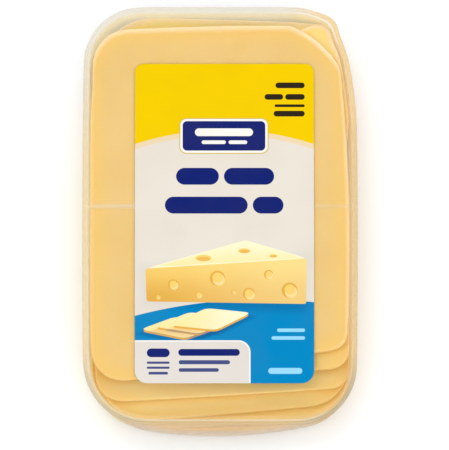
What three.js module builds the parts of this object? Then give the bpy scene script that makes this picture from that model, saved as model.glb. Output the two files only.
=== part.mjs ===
// A pack of sliced cheese, lying on its back with the label up: a clear thermoformed tray with a narrow
// sealing rim, ten slices of cheese that have slid apart inside it, a clear lid film sealed on the rim, and a
// paper label. Millimetres. +Z is up, +X is the label's right and +Y its upper end. The origin is under the
// middle of the pack.
import * as THREE from "three";
import { mergeVertices } from "three/addons/utils/BufferGeometryUtils.js";

// The tray's rim, and its walls below it.
const RIM_WIDTH = 118.6;
const RIM_LENGTH = 184;
const RIM_CORNERS = [27.5, 24.5, 27.5, 25.5]; // upper right, upper left, lower left and lower right
const RIM_TOP = 24.4;
const RIM_DROP = 1.5;
const RIM_BEAD = 0.25;
const FLANGE = 2.5;
const WALL = 0.5;
const WALL_DRAFT = 0.6;
const WALL_HEIGHTS = [4.5, 7, 10.5, 14, 17.5, 20.5];

// The tray stands on a flat ring, inside which its floor is raised a little.
const FOOT_INSET = 15;
const FOOT_STEP = 1;
const FLOOR_RISE = 0.8;
const BASE_FILLET = 2;
const FILLET_STEPS = 4;

// How the soft tray has settled out of its moulded shape.
const SIDE_BOW = 0.8;
const SHOULDER_PULL = 3.3; // the right side is drawn in near the upper end
const SHOULDER_FROM_Y = 40;
const SHOULDER_MOST_Y = 76;
const CORNER_PROUD = 2; // a slice's corner presses the upper right corner out
const CORNER_AT = new THREE.Vector2(48, 86.2);
const CORNER_OUTWARDS = new THREE.Vector2(0.8, 0.6);
const CORNER_REACH = 8;
const END_PROUD = 1.4; // the slices push the lower end wall out past the rim by this much
const END_PUSH_X = -2;
const END_PUSH_HALF = 40;
const END_PUSH_FROM_Y = -55;
const END_PUSH_TO_Y = -83;
const END_PUSH_FROM_Z = 5;
const END_PUSH_TO_Z = 11;
const RIM_MIDDLE_Y = END_PROUD / 2;

// The gap between pieces that rest on each other.
const REST_GAP = 0.25;

// The slices, as they were cut, and the cut edge's small rounding.
const SLICE_THICK = 2.05;
const SLICE_HALF_WIDTH = 53.6;
const SLICE_HALF_LENGTH = 74.5;
const SLICE_EDGE = 0.35;

// How each slice lies, from the top one down: at is its middle. turn lifts its right side, then moves
// its upper end towards +X. taper takes from the width of its upper end, then from the length of its right
// side. bow swells its right, upper, left and lower edges, and round has the radii of its upper right, upper
// left, lower left and lower right corners. cut is how nearly straight the upper right corner is cut off.
const SLICES = [
  {
    at: [-1.5, 8.7], turn: [4.7, -1], taper: [1.3, 3.5],
    bow: [3.3, 1.2, 0.2, 0], round: [20, 14, 16, 6], cut: 0.5,
  },
  {
    at: [-0.9, 6.4], turn: [2, -1.5], taper: [1.4, 0.4],
    bow: [1.3, 0.4, 0.2, 0.6], round: [26, 12, 11, 8],
  },
  {
    at: [0, 13.6], turn: [-2, 0], taper: [1.9, 0.3],
    bow: [1.3, 0, 0.4, 0.6], round: [21, 27, 12, 12],
  },
  {
    at: [0.3, -2.2], turn: [3.1, -0.6], taper: [0.6, 0.2],
    bow: [1.6, 0.6, 0.6, 0.3], round: [14, 12, 12, 7],
  },
  {
    at: [0.5, -9.7], turn: [4.6, -1], taper: [0, 0],
    bow: [0.9, 0.6, 0.3, 0.4], round: [12, 12, 23, 16],
  },
  {
    at: [0.4, -13.6], turn: [1.9, -0.6], taper: [0, 0],
    bow: [0.4, 0.6, 0.4, 0.9], round: [12, 12, 28, 24],
  },
  {
    at: [0.2, -13.4], turn: [0.6, 0], taper: [0, 0],
    bow: [0.4, 0.6, 0.4, 2.2], round: [12, 12, 30, 29],
  },
  {
    at: [0, -12.6], turn: [0.2, 0.3], taper: [0, 0],
    bow: [0.4, 0.6, 0.4, 3.4], round: [12, 12, 30, 30],
  },
  {
    at: [-0.6, 1.6], turn: [-0.6, -0.4], taper: [1, 0],
    bow: [0.4, 0.6, 0.4, 0.6], round: [20, 14, 14, 14],
  },
  {
    at: [-0.6, 2.8], turn: [0.4, -0.4], taper: [1.4, 0],
    bow: [0.2, 0.4, 0.2, 0.4], round: [28, 20, 14, 14],
  },
];

// The film and the label.
const FILM_THICK = 0.25;
const FILM_INSET = 0.3;
const LABEL_THICK = 0.2;
const LABEL_WIDTH = 77;
const LABEL_LENGTH = 140.4;
const LABEL_X = 1.9;
const LABEL_Y = -2.9;
const LABEL_TOP_CORNER = 3.6;
const LABEL_LOWER_CORNER = 5.5;

// How finely the outlines are divided.
const CORNER_STEPS = 8;
const END_STEPS = 10;
const SIDE_STEPS = 12;
const LABEL_CORNER_STEPS = 8;

const smooth = (t) => THREE.MathUtils.smoothstep(t, 0, 1);

// A rounded rectangle about the origin, anticlockwise, as a ring that has the same number of points at any
// size. The radii are those of the upper right, upper left, lower left and lower right corners. cut moves the
// upper right corner towards the straight line between its ends.
function roundedRing(halfX, halfY, radii, cut = 0) {
  const signs = [[1, 1], [-1, 1], [-1, -1], [1, -1]];
  const corners = signs.map(([sx, sy], k) => {
    const arc = [];
    for (let i = 0; i <= CORNER_STEPS; i++) {
      const a = (k + i / CORNER_STEPS) * (Math.PI / 2);
      const x = sx * (halfX - radii[k]) + radii[k] * Math.cos(a);
      const y = sy * (halfY - radii[k]) + radii[k] * Math.sin(a);
      arc.push(new THREE.Vector2(x, y));
    }
    return arc;
  });
  const chordStart = corners[0][0].clone();
  const chordEnd = corners[0][CORNER_STEPS].clone();
  corners[0].forEach((p, i) => p.lerp(chordStart.clone().lerp(chordEnd, i / CORNER_STEPS), cut));
  const ring = [];
  corners.forEach((arc, k) => {
    const from = arc[arc.length - 1];
    const to = corners[(k + 1) % 4][0];
    const steps = k % 2 === 0 ? END_STEPS : SIDE_STEPS;
    ring.push(...arc);
    for (let i = 1; i < steps; i++) ring.push(from.clone().lerp(to, i / steps));
  });
  return ring;
}

// A closed body through rings of points that follow each other, with a fan over the first ring and the last.
function loft(rings) {
  const around = rings[0].length;
  const positions = rings.flat().flatMap((p) => [p.x, p.y, p.z]);
  const faces = [];
  for (let i = 0; i + 1 < rings.length; i++) {
    for (let j = 0; j < around; j++) {
      const a = i * around + j;
      const b = i * around + ((j + 1) % around);
      faces.push(a, b, a + around, b, b + around, a + around);
    }
  }
  const addFan = (ring, first, up) => {
    const middle = ring.reduce((sum, p) => sum.add(p), new THREE.Vector3()).divideScalar(around);
    const hub = positions.length / 3;
    positions.push(middle.x, middle.y, middle.z);
    for (let j = 0; j < around; j++) {
      const here = first + j;
      const next = first + ((j + 1) % around);
      faces.push(hub, up ? here : next, up ? next : here);
    }
  };
  addFan(rings[0], 0, false);
  addFan(rings[rings.length - 1], (rings.length - 1) * around, true);
  const body = new THREE.BufferGeometry();
  body.setAttribute("position", new THREE.Float32BufferAttribute(positions, 3));
  body.setIndex(faces);
  return body;
}

// How far the tray's outer wall stands inside the rim's edge at a height.
const wallInset = (z) => FLANGE + WALL_DRAFT * (1 - z / RIM_TOP);

// How far the slices push the lower end wall out: nothing at the rim and the foot, and most in the middle.
function endPush(x, y, z) {
  const across = Math.max(0, 1 - ((x - END_PUSH_X) / END_PUSH_HALF) ** 2);
  const belowRim = RIM_TOP - RIM_DROP - z;
  const up = smooth(z / END_PUSH_FROM_Z) * smooth(belowRim / (RIM_TOP - RIM_DROP - END_PUSH_TO_Z));
  const near = smooth((END_PUSH_FROM_Y - y) / (END_PUSH_FROM_Y - END_PUSH_TO_Y));
  return (END_PROUD + wallInset(z)) * across * up * near;
}

// Moves a point of the moulded tray to where the soft tray has settled.
function settle(x, y, z) {
  const halfLength = RIM_LENGTH / 2;
  const bow = SIDE_BOW * Math.min(1, (y / halfLength) ** 2);
  const rising = smooth((y - SHOULDER_FROM_Y) / (SHOULDER_MOST_Y - SHOULDER_FROM_Y));
  const falling = 1 - smooth((y - SHOULDER_MOST_Y) / (halfLength - SHOULDER_MOST_Y));
  const pull = x > 0 ? SHOULDER_PULL * rising * falling : 0;
  const settled = new THREE.Vector2(
    x - (x / (RIM_WIDTH / 2)) * (bow + pull),
    y + RIM_MIDDLE_Y - endPush(x, y, z),
  );
  const nearCorner = 1 - smooth(settled.distanceTo(CORNER_AT) / CORNER_REACH);
  settled.addScaledVector(CORNER_OUTWARDS, CORNER_PROUD * nearCorner);
  return new THREE.Vector3(settled.x, settled.y, z);
}

// The rim's outline, moved inwards by inset, at one height.
function trayRing(inset, z) {
  const radii = RIM_CORNERS.map((radius) => radius - inset);
  const flat = roundedRing(RIM_WIDTH / 2 - inset, RIM_LENGTH / 2 - inset, radii);
  return flat.map((p) => settle(p.x, p.y, z));
}

// The tray's wall from the foot upwards, as inset and height: its outer face, or its inner face at an offset.
function wallProfile(offset) {
  const foot = wallInset(0) + offset;
  const profile = [];
  for (let i = 0; i <= FILLET_STEPS; i++) {
    const a = (i / FILLET_STEPS) * (Math.PI / 2);
    profile.push([foot + BASE_FILLET * (1 - Math.sin(a)), offset + BASE_FILLET * (1 - Math.cos(a))]);
  }
  for (const z of WALL_HEIGHTS) profile.push([wallInset(z) + offset, z]);
  return profile;
}

function trayBody() {
  const underside = [
    [FOOT_INSET + FOOT_STEP, FLOOR_RISE],
    [FOOT_INSET, 0],
  ];
  const rim = [
    [FLANGE, RIM_TOP - RIM_DROP],
    [FLANGE - RIM_BEAD, RIM_TOP - WALL],
    [RIM_BEAD, RIM_TOP - WALL],
    [0, RIM_TOP - WALL / 2],
    [RIM_BEAD, RIM_TOP],
    [FLANGE, RIM_TOP],
    [FLANGE + WALL, RIM_TOP - RIM_DROP + WALL],
  ];
  const floor = [
    [FOOT_INSET, WALL],
    [FOOT_INSET + FOOT_STEP, FLOOR_RISE + WALL],
  ];
  const profile = [...underside, ...wallProfile(0), ...rim, ...wallProfile(WALL).reverse(), ...floor];
  return loft(profile.map(([inset, z]) => trayRing(inset, z)));
}

// A slice's outline, moved inwards by inset, at one height.
function sliceRing(slice, inset, z) {
  const halfX = SLICE_HALF_WIDTH - inset;
  const halfY = SLICE_HALF_LENGTH - inset;
  const [middleX, middleY] = slice.at;
  const [rise, lean] = slice.turn;
  const [narrow, short] = slice.taper;
  const [right, upper, left, lower] = slice.bow;
  const radii = slice.round.map((radius) => radius - inset);
  return roundedRing(halfX, halfY, radii, slice.cut).map((p) => {
    const u = p.x / SLICE_HALF_WIDTH;
    const v = p.y / SLICE_HALF_LENGTH;
    const sideways = v * lean - u * v * narrow + (u > 0 ? right : left) * u * (1 - v * v);
    const lengthways = u * rise - u * v * short + (v > 0 ? upper : lower) * v * (1 - u * u);
    return new THREE.Vector3(middleX + p.x + sideways, middleY + p.y + lengthways, z);
  });
}

function sliceBody(slice, order) {
  const below = SLICES.length - 1 - order;
  const low = FLOOR_RISE + WALL + REST_GAP + below * (SLICE_THICK + REST_GAP);
  return loft([
    sliceRing(slice, SLICE_EDGE, low),
    sliceRing(slice, 0, low + SLICE_EDGE),
    sliceRing(slice, 0, low + SLICE_THICK - SLICE_EDGE),
    sliceRing(slice, SLICE_EDGE, low + SLICE_THICK),
  ]);
}

function filmBody() {
  const low = RIM_TOP + REST_GAP;
  return loft([trayRing(FILM_INSET, low), trayRing(FILM_INSET, low + FILM_THICK)]);
}

function labelBody() {
  const left = LABEL_X - LABEL_WIDTH / 2;
  const right = LABEL_X + LABEL_WIDTH / 2;
  const low = LABEL_Y - LABEL_LENGTH / 2;
  const high = LABEL_Y + LABEL_LENGTH / 2;
  const quarter = Math.PI / 2;
  const top = LABEL_TOP_CORNER;
  const foot = LABEL_LOWER_CORNER;
  const outline = new THREE.Shape();
  outline.absarc(right - top, high - top, top, 0, quarter);
  outline.absarc(left + top, high - top, top, quarter, 2 * quarter);
  outline.absarc(left + foot, low + foot, foot, 2 * quarter, 3 * quarter);
  outline.absarc(right - foot, low + foot, foot, 3 * quarter, 4 * quarter);
  outline.closePath();
  const sheet = { depth: LABEL_THICK, bevelEnabled: false, curveSegments: LABEL_CORNER_STEPS };
  return new THREE.ExtrudeGeometry(outline, sheet).translate(0, 0, RIM_TOP + FILM_THICK + 2 * REST_GAP);
}

const clearPlastic = new THREE.MeshStandardMaterial({
  color: "#eef0ec", roughness: 0.12, metalness: 0, transparent: true, opacity: 0.3,
});
const clearFilm = new THREE.MeshStandardMaterial({
  color: "#f4f5f2", roughness: 0.08, metalness: 0, transparent: true, opacity: 0.15,
});
const printedPaper = new THREE.MeshStandardMaterial({ color: "#f0d040", roughness: 0.45, metalness: 0 });
const cheese = new THREE.MeshStandardMaterial({ color: "#f2cc84", roughness: 0.4, metalness: 0 });

// A named mesh whose neighbouring faces share their corners.
function piece(name, geometry, material) {
  geometry.deleteAttribute("normal");
  geometry.deleteAttribute("uv");
  const body = mergeVertices(geometry, 1e-4);
  body.computeVertexNormals();
  const mesh = new THREE.Mesh(body, material);
  mesh.name = name;
  return mesh;
}

const pack = new THREE.Group();
pack.name = "cheese_pack";
pack.add(piece("tray", trayBody(), clearPlastic));
SLICES.forEach((slice, order) => {
  pack.add(piece(`slice_${String(order + 1).padStart(2, "0")}`, sliceBody(slice, order), cheese));
});
pack.add(piece("lid_film", filmBody(), clearFilm));
pack.add(piece("label", labelBody(), printedPaper));

export default pack;
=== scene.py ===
# %% [markdown]
# # A pack of sliced cheese
#
# The pack lies on its back and the camera looks down on it. It is a clear tray with a narrow rim, ten
# slices that have slid apart inside it, a clear film sealed on the rim, and a paper label on the film.
#
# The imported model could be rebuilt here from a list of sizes, but then two lists would have to agree. It is
# loaded instead, and the outlines, heights and places of all pieces are read from it. The tints and the
# lights are this script's own, and were set by comparing renders with the photograph.

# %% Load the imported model
import math

import bmesh
import bpy
import numpy as np
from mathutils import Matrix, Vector


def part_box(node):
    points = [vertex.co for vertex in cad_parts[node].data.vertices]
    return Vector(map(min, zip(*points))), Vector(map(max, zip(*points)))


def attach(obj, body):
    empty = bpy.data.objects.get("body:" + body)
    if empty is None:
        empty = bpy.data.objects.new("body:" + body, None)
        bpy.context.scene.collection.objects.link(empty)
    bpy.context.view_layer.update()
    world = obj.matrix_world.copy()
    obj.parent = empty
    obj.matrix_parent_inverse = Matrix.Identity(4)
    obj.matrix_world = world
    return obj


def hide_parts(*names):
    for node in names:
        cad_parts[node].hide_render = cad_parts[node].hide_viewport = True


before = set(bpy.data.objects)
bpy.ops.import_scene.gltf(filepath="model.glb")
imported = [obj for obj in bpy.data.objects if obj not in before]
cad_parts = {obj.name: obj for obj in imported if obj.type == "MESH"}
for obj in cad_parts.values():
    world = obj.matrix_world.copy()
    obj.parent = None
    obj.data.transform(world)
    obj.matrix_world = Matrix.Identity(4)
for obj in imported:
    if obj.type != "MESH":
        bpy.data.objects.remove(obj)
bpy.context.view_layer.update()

MM = 0.001

# %% [markdown]
# ## Camera
#
# The photograph is taken from nearly above: the lower end wall just shows below the rim, which a camera
# 78 degrees above the table sees. The label's sides stay parallel. A near camera with a short lens would let
# them run together, so this one stands far off with a long lens. It aims at a point in the rim's plane, a
# little right of the pack's middle and below it, because that is where the photograph's own middle lies.

# %% Place the camera
FRAME_PIXELS = 450
MM_PER_PIXEL = 0.43
ELEVATION = math.radians(78)
DISTANCE = 5.0
SENSOR_WIDTH = 36
CLIP_NEAR = 0.1
CLIP_FAR = 100
PACK_LEFT_OF_CENTRE = 4.5
PACK_ABOVE_CENTRE = 9.75
AIM_TRIM = 0.7 * MM

rim_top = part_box("tray")[1].z
aim = Vector((
    PACK_LEFT_OF_CENTRE * MM_PER_PIXEL * MM,
    AIM_TRIM - PACK_ABOVE_CENTRE * MM_PER_PIXEL * MM / math.sin(ELEVATION),
    rim_top,
))
camera = bpy.data.objects.new("camera", bpy.data.cameras.new("camera"))
camera.data.sensor_width = SENSOR_WIDTH
camera.data.lens = SENSOR_WIDTH * DISTANCE / (FRAME_PIXELS * MM_PER_PIXEL * MM)
camera.data.clip_start = CLIP_NEAR
camera.data.clip_end = CLIP_FAR
camera.location = aim + DISTANCE * Vector((0, -math.cos(ELEVATION), math.sin(ELEVATION)))
camera.rotation_euler = (math.pi / 2 - ELEVATION, 0, 0)
bpy.context.scene.collection.objects.link(camera)
bpy.context.scene.camera = camera
print("lens:", round(camera.data.lens), "mm at", DISTANCE, "m")

# %% [markdown]
# ## Nodes written as Python
#
# A node tree is hard to read as a list of boxes and links. `Value` wraps a socket, so that an expression
# such as `1 - mask * 0.5` adds the Math nodes that work it out. `Nodes` adds every other node, in shader
# trees and in geometry trees alike.

# %% A value that adds Math nodes
class Value:
    """A number in a node tree. Arithmetic on it adds Math nodes."""

    def __init__(self, nodes, socket):
        self.nodes = nodes
        self.socket = socket

    def math(self, operation, *others, clamp=False):
        return self.nodes.math(operation, self, *others, clamp=clamp)

    def __add__(self, other):
        return self.math("ADD", other)

    def __radd__(self, other):
        return self.nodes.math("ADD", other, self)

    def __sub__(self, other):
        return self.math("SUBTRACT", other)

    def __rsub__(self, other):
        return self.nodes.math("SUBTRACT", other, self)

    def __mul__(self, other):
        return self.math("MULTIPLY", other)

    def __rmul__(self, other):
        return self.nodes.math("MULTIPLY", other, self)

    def __truediv__(self, other):
        return self.math("DIVIDE", other)

    def __pow__(self, other):
        return self.math("POWER", other)

    def __neg__(self):
        return self.math("MULTIPLY", -1)

    def __abs__(self):
        return self.math("ABSOLUTE")

    def least(self, other):
        return self.math("MINIMUM", other)

    def most(self, other):
        return self.math("MAXIMUM", other)

    def clamped(self):
        return self.math("ADD", 0, clamp=True)


# %% [markdown]
# `add` could make every node, but a few are needed again and again: a soft step, a band, a noise, a mix of
# two colours, a bump, and the numbers stored on a piece's points. Each of them gets a method of its own.

# %% Nodes of a tree
class Nodes:
    """Adds nodes to one tree and joins them."""

    def __init__(self, tree):
        self.tree = tree

    def feed(self, socket, value):
        if isinstance(value, Value):
            value = value.socket
        if isinstance(value, bpy.types.NodeSocket):
            self.tree.links.new(value, socket)
        else:
            socket.default_value = value

    def add(self, kind, settings=None, sockets=None):
        node = self.tree.nodes.new(kind)
        for name, value in (settings or {}).items():
            setattr(node, name, value)
        for name, value in (sockets or {}).items():
            self.feed(node.inputs[name], value)
        return node

    def math(self, operation, *values, clamp=False):
        settings = {"operation": operation, "use_clamp": clamp}
        node = self.add("ShaderNodeMath", settings, dict(enumerate(values)))
        return Value(self, node.outputs[0])

    def value(self, node, output=0):
        return Value(self, node.outputs[output])

    def axes(self, vector):
        split = self.add("ShaderNodeSeparateXYZ", None, {0: vector})
        return [self.value(split, axis) for axis in ("X", "Y", "Z")]

    def vector(self, x, y, z):
        return self.add("ShaderNodeCombineXYZ", None, {0: x, 1: y, 2: z}).outputs[0]

    def length(self, x, y):
        sockets = {0: self.vector(x, y, 0)}
        node = self.add("ShaderNodeVectorMath", {"operation": "LENGTH"}, sockets)
        return self.value(node, "Value")

    def smooth(self, value, low, high):
        """Zero below the first place and one above the second, with a soft change between them."""
        sockets = {"Value": value, "From Min": low, "From Max": high}
        return self.value(self.add("ShaderNodeMapRange", {"interpolation_type": "SMOOTHSTEP"}, sockets))

    def band(self, value, starts, ends):
        """One between two pairs of places, and zero outside them."""
        return self.smooth(value, *starts) * (1 - self.smooth(value, *ends))

    def noise(self, vector, scale, detail=2.0, roughness=0.5):
        sockets = {"Vector": vector, "Scale": scale, "Detail": detail, "Roughness": roughness}
        return self.value(self.add("ShaderNodeTexNoise", None, sockets), 0)

    def blend(self, mask, below, above):
        node = self.add("ShaderNodeMix", {"data_type": "RGBA"}, {0: mask, 6: below, 7: above})
        return node.outputs[2]

    def place(self):
        return self.add("ShaderNodeTexCoord").outputs["Object"]

    def stored_mm(self, name):
        """A distance that was stored on the points of a piece, in millimetres."""
        return self.value(self.add("ShaderNodeAttribute", {"attribute_name": name}), "Fac") / MM

    def bump(self, relief, strength, distance):
        sockets = {"Strength": strength, "Distance": distance, "Height": relief}
        return self.add("ShaderNodeBump", None, sockets).outputs[0]


# %% [markdown]
# Shaders take linear colours, which are hard to judge as numbers. So colours are written as a screen shows
# them, from 0 to 255, and turned into linear ones here.

# %% Colours and materials
LIGHT_SHARE = 0.89
GREY_SCREEN = 128


def colour(red, green, blue):
    """A screen colour, 0 to 255, as the linear values that shaders take. The light is strong enough to
    wash the table out to white, so every colour is set darker by that share."""
    parts = [c / 255 for c in (red, green, blue)]
    linear = [c / 12.92 if c <= 0.04045 else ((c + 0.055) / 1.055) ** 2.4 for c in parts]
    return (*(c * LIGHT_SHARE for c in linear), 1)


def new_material(name):
    material = bpy.data.materials.new(name)
    material.use_nodes = True
    material.node_tree.nodes.clear()
    return material, Nodes(material.node_tree)


def finish(material, nodes, shader):
    nodes.add("ShaderNodeOutputMaterial", None, {"Surface": shader})
    print("material", material.name, "has", len(material.node_tree.nodes), "nodes")
    return material


print("middle grey in linear light:", round(colour(GREY_SCREEN, GREY_SCREEN, GREY_SCREEN)[0], 3))

# %% [markdown]
# ## Sheets
#
# Slices, film and label are all sheets: an outline, a thickness and a soft edge. Modelling each by hand
# would repeat the same work twelve times, and a filled curve has no points inside its outline to bend. So
# one Geometry Nodes tree makes them all. It bends a plain grid: one direction of the grid runs round the
# outline, the other runs from the middle of the upper face over the edge to the middle of the lower face.
#
# The sheet then follows what it lies on. Its two ends sag where nothing is under them, and a slow noise
# makes it wavy. The upper eight slices use the same noise and the same sag, so that they bend together.

# %% Tree that makes a sheet
SHEET_INPUTS = {
    "Around": ("NodeSocketInt", 240),
    "Across": ("NodeSocketInt", 81),
    "Height": ("NodeSocketFloat", 0.0),
    "Thickness": ("NodeSocketFloat", 0.002),
    "Edge": ("NodeSocketFloat", 0.0005),
    "Wave height": ("NodeSocketFloat", 0.0),
    "Wave size": ("NodeSocketFloat", 0.03),
    "Upper sag": ("NodeSocketFloat", 0.0),
    "Upper from": ("NodeSocketFloat", 0.06),
    "Lower sag": ("NodeSocketFloat", 0.0),
    "Lower from": ("NodeSocketFloat", -0.07),
    "Sag reach": ("NodeSocketFloat", 0.03),
    "Crease height": ("NodeSocketFloat", 0.0),
    "Crease place": ("NodeSocketFloat", 0.0),
    "Material": ("NodeSocketMaterial", None),
}
EDGE_SHARE = 0.2
EDGE_SQUARENESS = 2 / 3
FACE_SPREAD = 1.2
CREASE_PLACE = 4.6 * MM
CREASE_HALF_WIDTH = 0.9 * MM
DOUBLES_WITHIN = 1e-6


def sheet_tree():
    tree = bpy.data.node_groups.new("sheet", "GeometryNodeTree")
    tree.interface.new_socket(name="Geometry", in_out="INPUT", socket_type="NodeSocketGeometry")
    for name, (kind, default) in SHEET_INPUTS.items():
        socket = tree.interface.new_socket(name=name, in_out="INPUT", socket_type=kind)
        if default is not None:
            socket.default_value = default
    tree.interface.new_socket(name="Geometry", in_out="OUTPUT", socket_type="NodeSocketGeometry")
    nodes = Nodes(tree)
    given = nodes.add("NodeGroupInput").outputs
    number = {name: Value(nodes, given[name]) for name in SHEET_INPUTS if name != "Material"}

    def step(kind, settings=None, sockets=None):
        return nodes.add(kind, settings, sockets).outputs[0]

    # The outline as a smooth closed curve.
    curve = step("GeometryNodeMeshToCurve", None, {"Mesh": given["Geometry"]})
    curve = step("GeometryNodeCurveSplineType", {"spline_type": "CATMULL_ROM"}, {"Curve": curve})
    curve = step("GeometryNodeResampleCurve", None, {"Curve": curve, "Count": number["Around"]})

    # The plain grid, read as a turn round the outline and a way across the sheet.
    grid = nodes.add("GeometryNodeMeshGrid", None, {
        "Size X": 1.0, "Size Y": 1.0, "Vertices X": number["Around"] + 1, "Vertices Y": number["Across"],
    }).outputs["Mesh"]
    x, y, _ = nodes.axes(step("GeometryNodeInputPosition"))
    sample = nodes.add("GeometryNodeSampleCurve", {"mode": "FACTOR", "use_all_curves": True}, {
        "Curves": curve, "Factor": x + 0.5,
    })
    outline_x, outline_y, _ = nodes.axes(sample.outputs["Position"])
    across = abs(y * 2)
    side = y.math("SIGN")

    # The soft edge turns through a quarter, and the face carries on to the middle.
    turn = (across / EDGE_SHARE).least(1) * (math.pi / 2)
    inset = number["Edge"] * (1 - turn.math("COSINE").most(0) ** EDGE_SQUARENESS)
    face = ((across - EDGE_SHARE) / (1 - EDGE_SHARE)).most(0) ** FACE_SPREAD
    reach = nodes.length(outline_x, outline_y)
    scale = (1 - inset / reach) * (1 - face)
    sheet_x = outline_x * scale
    sheet_y = outline_y * scale
    rise = side * (turn.math("SINE").most(0) ** EDGE_SQUARENESS) * number["Thickness"] * -0.5

    # What the sheet lies on bends it.
    place = nodes.vector(sheet_x / number["Wave size"], sheet_y / number["Wave size"], 0)
    wave = (nodes.noise(place, 1.0, 1.0) - 0.5) * 2 * number["Wave height"]
    upper = ((sheet_y - number["Upper from"]) / number["Sag reach"]).most(0) ** 2 * number["Upper sag"]
    lower = ((number["Lower from"] - sheet_y) / number["Sag reach"]).most(0) ** 2 * number["Lower sag"]
    off_crease = (sheet_y - number["Crease place"]) / CREASE_HALF_WIDTH
    crease = (-(off_crease * off_crease)).math("EXPONENT") * number["Crease height"]
    height = number["Height"] + rise + wave - upper - lower + crease

    # The distance is stored while the points are still the grid's, because bending changes what y is.
    mesh = step("GeometryNodeStoreNamedAttribute", {"data_type": "FLOAT", "domain": "POINT"}, {
        "Geometry": grid, "Name": "from_edge", "Value": reach * (1 - scale),
    })
    bent = nodes.vector(sheet_x, sheet_y, height)
    mesh = step("GeometryNodeSetPosition", None, {"Geometry": mesh, "Position": bent})
    mesh = step("GeometryNodeMergeByDistance", None, {"Geometry": mesh, "Distance": DOUBLES_WITHIN})
    mesh = step("GeometryNodeSetShadeSmooth", None, {"Geometry": mesh})
    mesh = step("GeometryNodeRealizeInstances", None, {"Geometry": mesh})
    mesh = step("GeometryNodeSetMaterial", None, {"Geometry": mesh, "Material": given["Material"]})
    nodes.add("NodeGroupOutput", None, {"Geometry": mesh})
    return tree


SHEET = sheet_tree()
print("sheet tree:", len(SHEET.nodes), "nodes")

# %% [markdown]
# A sheet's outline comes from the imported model. Its mesh is loose triangles, so the points of one level are
# read, doubles are dropped, and the rest are put in order round the middle. Every outline here is seen whole
# from its middle, so sorting by direction is enough. Long straight runs are filled with more points, because
# a smooth curve through unevenly spaced ones swings out at the corners.

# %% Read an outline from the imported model
HUB = 10 * MM
LONGEST_STEP = 1.2 * MM
POINTS_AT_ONCE = 1000


def outline_of(node, level):
    """A node's outline at one of its levels, counted from the lowest, in order round the middle."""
    points = {tuple(round(c, 7) for c in v.co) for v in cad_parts[node].data.vertices}
    height = sorted({round(p[2], 5) for p in points})[level]
    ring = [Vector(p) for p in points if round(p[2], 5) == height and math.hypot(p[0], p[1]) > HUB]
    ring.sort(key=lambda p: math.atan2(p.y, p.x))
    filled = []
    for start, end in zip(ring, ring[1:] + ring[:1]):
        steps = math.ceil((end - start).length / LONGEST_STEP)
        filled += [start.lerp(end, step / steps) for step in range(steps)]
    return filled


def inside_by(points, ring):
    """How far each point lies inside a closed outline, seen from above. It is below zero outside."""
    start = np.array([(p.x, p.y) for p in ring])
    step = np.roll(start, -1, axis=0) - start
    nearest = []
    for some in np.array_split(points[:, :2], len(points) // POINTS_AT_ONCE + 1):
        offset = some[:, None] - start
        along = np.clip((offset * step).sum(2) / (step * step).sum(1), 0, 1)
        gap = offset - along[..., None] * step
        nearest.append(np.hypot(gap[..., 0], gap[..., 1]).min(1))
    turns = np.arctan2(start[:, 1], start[:, 0])
    order = np.argsort(turns)
    reach = np.hypot(start[:, 0], start[:, 1])
    direction = np.arctan2(points[:, 1], points[:, 0])
    edge = np.interp(direction, turns[order], reach[order], period=2 * math.pi)
    sign = np.where(np.hypot(points[:, 0], points[:, 1]) <= edge, 1, -1)
    return np.concatenate(nearest) * sign


tray_levels = sorted({round(v.co.z, 5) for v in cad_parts["tray"].data.vertices})
RIM_OUTLINE = outline_of("tray", len(tray_levels) - 2)
print("rim outline:", len(RIM_OUTLINE), "points")

# %% [markdown]
# The outline is first an object of its own, a ring of edges. The tree runs on it as a modifier, the result
# becomes a plain mesh, and the modifier goes. Only then is the piece handed over in place of its node. A
# sheet whose volume comes out below zero is inside out, so its faces are turned.

# %% Turn an outline into a sheet
def mesh_object(name, points, edges=(), faces=()):
    mesh = bpy.data.meshes.new(name)
    mesh.from_pydata([Vector(p) for p in points], edges, faces)
    made = bpy.data.objects.new(name, mesh)
    bpy.context.scene.collection.objects.link(made)
    return made


def volume_of(mesh):
    shape = bmesh.new()
    shape.from_mesh(mesh)
    volume = shape.calc_volume(signed=True)
    shape.free()
    return volume


def make_sheet(name, node, ring, material, **inputs):
    """A finished sheet in place of a node. inputs are the sheet tree's, with spaces for underscores."""
    outline = mesh_object(name, ring, [(i, (i + 1) % len(ring)) for i in range(len(ring))])
    modifier = outline.modifiers.new("sheet", "NODES")
    modifier.node_group = SHEET
    identifiers = {s.name: s.identifier for s in SHEET.interface.items_tree if s.in_out == "INPUT"}
    low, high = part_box(node)
    inputs = {"Height": (low.z + high.z) / 2, "Thickness": high.z - low.z, "Material": material, **inputs}
    for key, value in inputs.items():
        modifier[identifiers[key.replace("_", " ")]] = value
    bpy.context.view_layer.update()
    depsgraph = bpy.context.evaluated_depsgraph_get()
    made = bpy.data.meshes.new_from_object(outline.evaluated_get(depsgraph))
    outline.modifiers.clear()
    outline.data = made
    if volume_of(made) < 0:
        made.flip_normals()
    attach(outline, "root")
    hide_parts(node)
    print(name, "points", len(made.vertices), "volume cm3", round(volume_of(made) * 1e6, 2))
    return outline


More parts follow.
